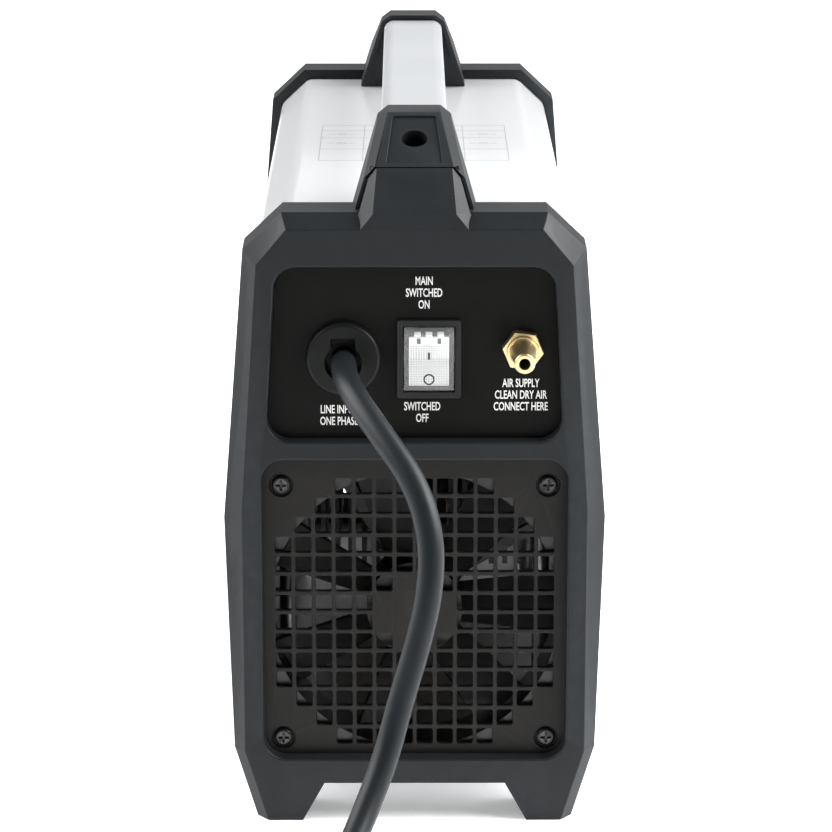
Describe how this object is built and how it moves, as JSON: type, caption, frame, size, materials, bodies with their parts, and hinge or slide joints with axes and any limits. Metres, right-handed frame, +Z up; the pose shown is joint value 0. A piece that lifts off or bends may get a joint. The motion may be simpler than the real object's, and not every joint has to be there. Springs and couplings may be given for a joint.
{
  "type": "plasma cutter unit",
  "caption": "Upright inverter plasma cutter with moulded end fascias, steel cover, bar handle, fan grille, rocker switch, gas inlet and mains lead.",
  "frame": {"origin": "on the floor under the middle of the case, without the mains lead", "axes": "+Z up, +Y towards the torch end, -Y is the rear with the mains lead and the fan grille, +X to the right seen from the rear"},
  "size_m": [0.1905, 0.6945, 0.279],
  "materials": {
    "case_plastic": "moulded, fine satin texture",
    "panel_black": "satin black powder coat",
    "grille_plastic": "moulded, satin",
    "cover_paint": "glossy light grey paint",
    "grip_silver": "silver, fine speckle",
    "steel": "zinc plated",
    "black_screw": "blackened",
    "fan_plastic": "moulded",
    "brass": "machined, bright",
    "gland_plastic": "moulded nylon",
    "switch_plastic": "moulded",
    "rocker_clear": "clear moulded",
    "knob_plastic": "moulded",
    "button_plastic": "moulded",
    "lens": "tinted acrylic",
    "lamp": "tinted moulded lens",
    "board": "lacquered board",
    "aluminium": "extruded",
    "ferrite": "fired ferrite core, dark grey",
    "winding": "enamelled copper",
    "can": "sleeved can",
    "hose": "reinforced hose",
    "cord": "satin jacket"
  },
  "bodies": {
    "case": {"rear_fascia": "case_plastic", "front_fascia": "case_plastic", "rear_handle_end": "case_plastic", "front_handle_end": "case_plastic", "handle_grip": "grip_silver", "rear_handle_bolt": "black_screw", "front_handle_bolt": "black_screw", "cover": "cover_paint", "base_tray": "steel", "cover_screws": "steel", "tray_screws": "steel", "rear_panel": "panel_black", "fan_grille": "grille_plastic", "fan_frame": "fan_plastic", "fan_bearing": "brass", "fan_motor": "steel", "grille_screws": "black_screw", "switch_housing": "switch_plastic", "switch_terminals": "brass", "cord_gland": "gland_plastic", "gland_nut": "gland_plastic", "gas_inlet": "brass", "gas_inlet_nut": "brass", "gas_hose_in": "hose", "gas_valve": "brass", "gas_valve_coil": "fan_plastic", "gas_hose_out": "hose", "front_panel": "panel_black", "display_lens": "lens", "display_module": "switch_plastic", "indicator_lamps": "lamp", "control_board": "board", "control_board_pillars": "steel", "potentiometer": "steel", "button_housing": "switch_plastic", "socket_panel": "grille_plastic", "socket_panel_screws": "black_screw", "torch_socket_collar": "knob_plastic", "torch_socket": "brass", "work_socket_collar": "knob_plastic", "work_socket": "brass", "power_board": "board", "board_standoffs": "steel", "left_heatsink": "aluminium", "right_heatsink": "aluminium", "transformer_core": "ferrite", "transformer_winding": "winding", "output_inductor": "winding", "capacitors": "can", "mains_cord": "cord", "mains_cord_coil": "cord", "mains_plug": "cord", "plug_blades": "brass"},
    "rocker": {"switch_rocker": "rocker_clear"},
    "fan": {"fan_rotor": "fan_plastic"},
    "knob": {"current_knob": "knob_plastic", "knob_shaft": "steel"},
    "button": {"push_button": "button_plastic"}
  },
  "joints": [
    {"name": "rocker_tilt", "type": "hinge", "parent": "case", "child": "rocker", "pos_m": [0.0056, -0.175, 0.1893], "axis": [1, 0, 0], "range_deg": [-18, 0]},
    {"name": "fan_spin", "type": "hinge", "parent": "case", "child": "fan", "pos_m": [0, -0.1603, 0.0853], "axis": [0, 1, 0], "continuous": true},
    {"name": "knob_turn", "type": "hinge", "parent": "case", "child": "knob", "pos_m": [0.026, 0.18, 0.184], "axis": [0, 1, 0], "range_deg": [-135, 135]},
    {"name": "button_press", "type": "slide", "parent": "case", "child": "button", "axis": [0, -1, 0], "range_m": [0, 0.002], "stiffness_N_per_m": 400, "springref_m": -0.0004}
  ]
}
